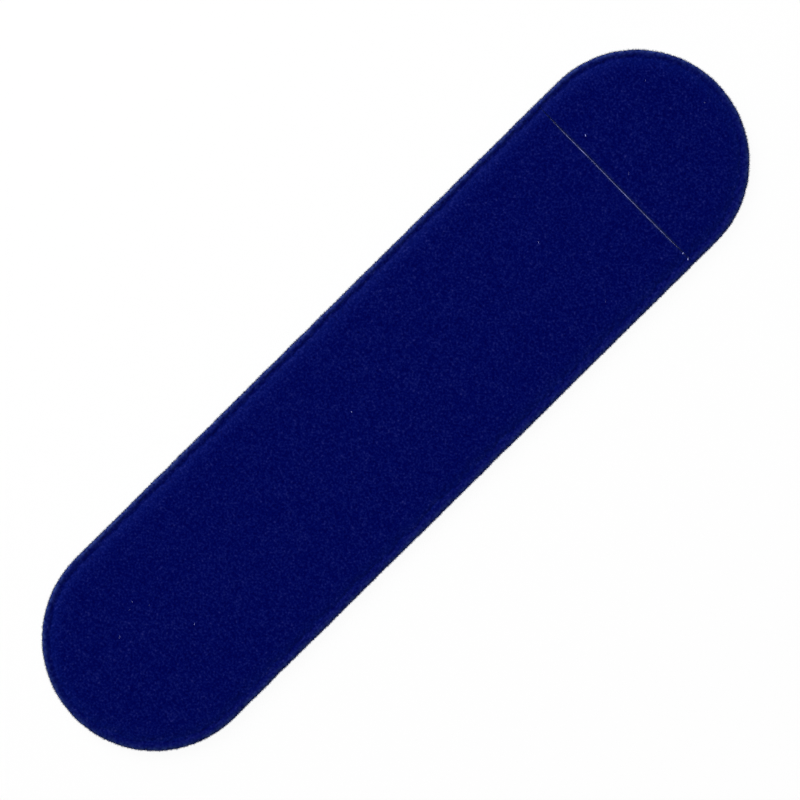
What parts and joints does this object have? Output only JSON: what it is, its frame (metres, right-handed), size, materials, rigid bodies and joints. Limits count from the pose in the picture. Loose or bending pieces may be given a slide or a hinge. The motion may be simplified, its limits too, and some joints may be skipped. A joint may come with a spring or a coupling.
{
  "type": "pen sleeve",
  "caption": "Flat round-ended pen sleeve of blue flocked film: a full back, a long front pocket and a short front hood that meet at a cross slit, welded round the edge.",
  "frame": {"origin": "on the resting face of the back, under the middle of the sleeve", "axes": "+Z out of the front face, +Y along the sleeve from the closed end to the hood, +X across it"},
  "size_m": [0.04, 0.161, 0.0021],
  "materials": {
    "flock": "short dense blue flock pile, matt with a faint sheen",
    "film": "thin pale lilac-grey plastic film, satin",
    "weld": "film fused by heat, slightly darker than the film"
  },
  "bodies": {
    "back": {"back_flock": "flock", "back_film": "film", "pocket_weld": "weld", "pocket_rim_film": "film", "pocket_rim_flock": "flock"},
    "head": {"head_flock": "flock", "head_film": "film", "hood_weld": "weld", "hood_rim_film": "film", "hood_rim_flock": "flock"},
    "pocket_panel": {"pocket_panel_film": "film", "pocket_panel_flock": "flock"},
    "hood_panel": {"hood_panel_film": "film", "hood_panel_flock": "flock"}
  },
  "joints": [
    {"name": "pocket_bow", "type": "slide", "parent": "back", "child": "pocket_panel", "axis": [0, 0, 1], "range_m": [0, 0.011], "stiffness_N_per_m": 25},
    {"name": "head_fold", "type": "hinge", "parent": "back", "child": "head", "pos_m": [0, 0.0552, 0], "axis": [-1, 0, 0], "range_deg": [0, 150], "stiffness_Nm_per_rad": 0.003},
    {"name": "hood_bow", "type": "slide", "parent": "head", "child": "hood_panel", "axis": [0, 0, 1], "range_m": [0, 0.011], "stiffness_N_per_m": 25}
  ]
}
